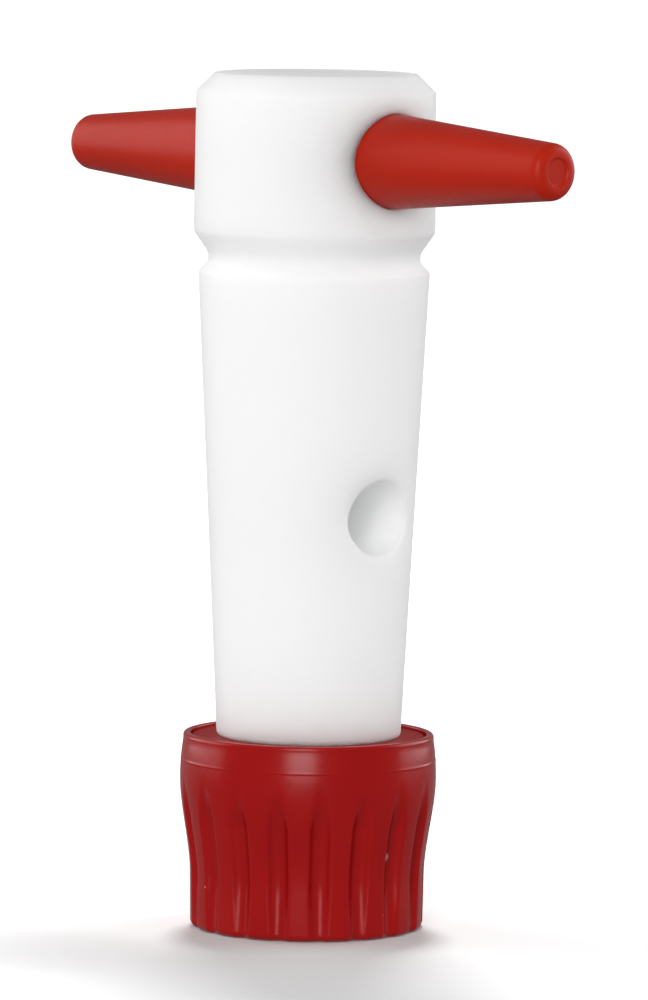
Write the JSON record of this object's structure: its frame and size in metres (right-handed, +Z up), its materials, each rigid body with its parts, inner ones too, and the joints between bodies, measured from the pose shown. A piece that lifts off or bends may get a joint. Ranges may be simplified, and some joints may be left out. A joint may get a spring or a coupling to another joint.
{
  "type": "stopcock plug",
  "caption": "Tapered fluoroplastic stopcock plug with a cross bore, a two-armed handle through its head and a fluted retaining nut on a keyed washer and O-ring.",
  "frame": {"origin": "centre of the nut's underside, on which the part stands", "axes": "+Z up the plug's axis from the nut to the head; X along the handle and along the flow bore, +X the socket half's arm"},
  "size_m": [0.056, 0.021, 0.0701],
  "materials": {
    "ptfe": "turned PTFE, satin white",
    "handle_plastic": "moulded red plastic, satin",
    "washer_plastic": "moulded red plastic",
    "seal_rubber": "black elastomer",
    "nut_plastic": "moulded red plastic, semi-gloss"
  },
  "bodies": {
    "nut": {"retaining_nut": "nut_plastic", "o_ring": "seal_rubber"},
    "washer": {"thrust_washer": "washer_plastic"},
    "plug": {"plug": "ptfe", "handle_spigot_half": "handle_plastic", "handle_socket_half": "handle_plastic"}
  },
  "joints": [
    {"name": "plug_turn", "type": "hinge", "parent": "nut", "child": "washer", "pos_m": [0, 0, 0], "axis": [0, 0, 1], "range_deg": [0, 1710]},
    {"name": "plug_lift", "type": "slide", "parent": "washer", "child": "plug", "axis": [0, 0, 1], "range_m": [0, 0.0095]}
  ],
  "couplings": [
    {"joint": "plug_lift", "follows": "plug_turn", "m_per_rad": 0.00031831}
  ]
}
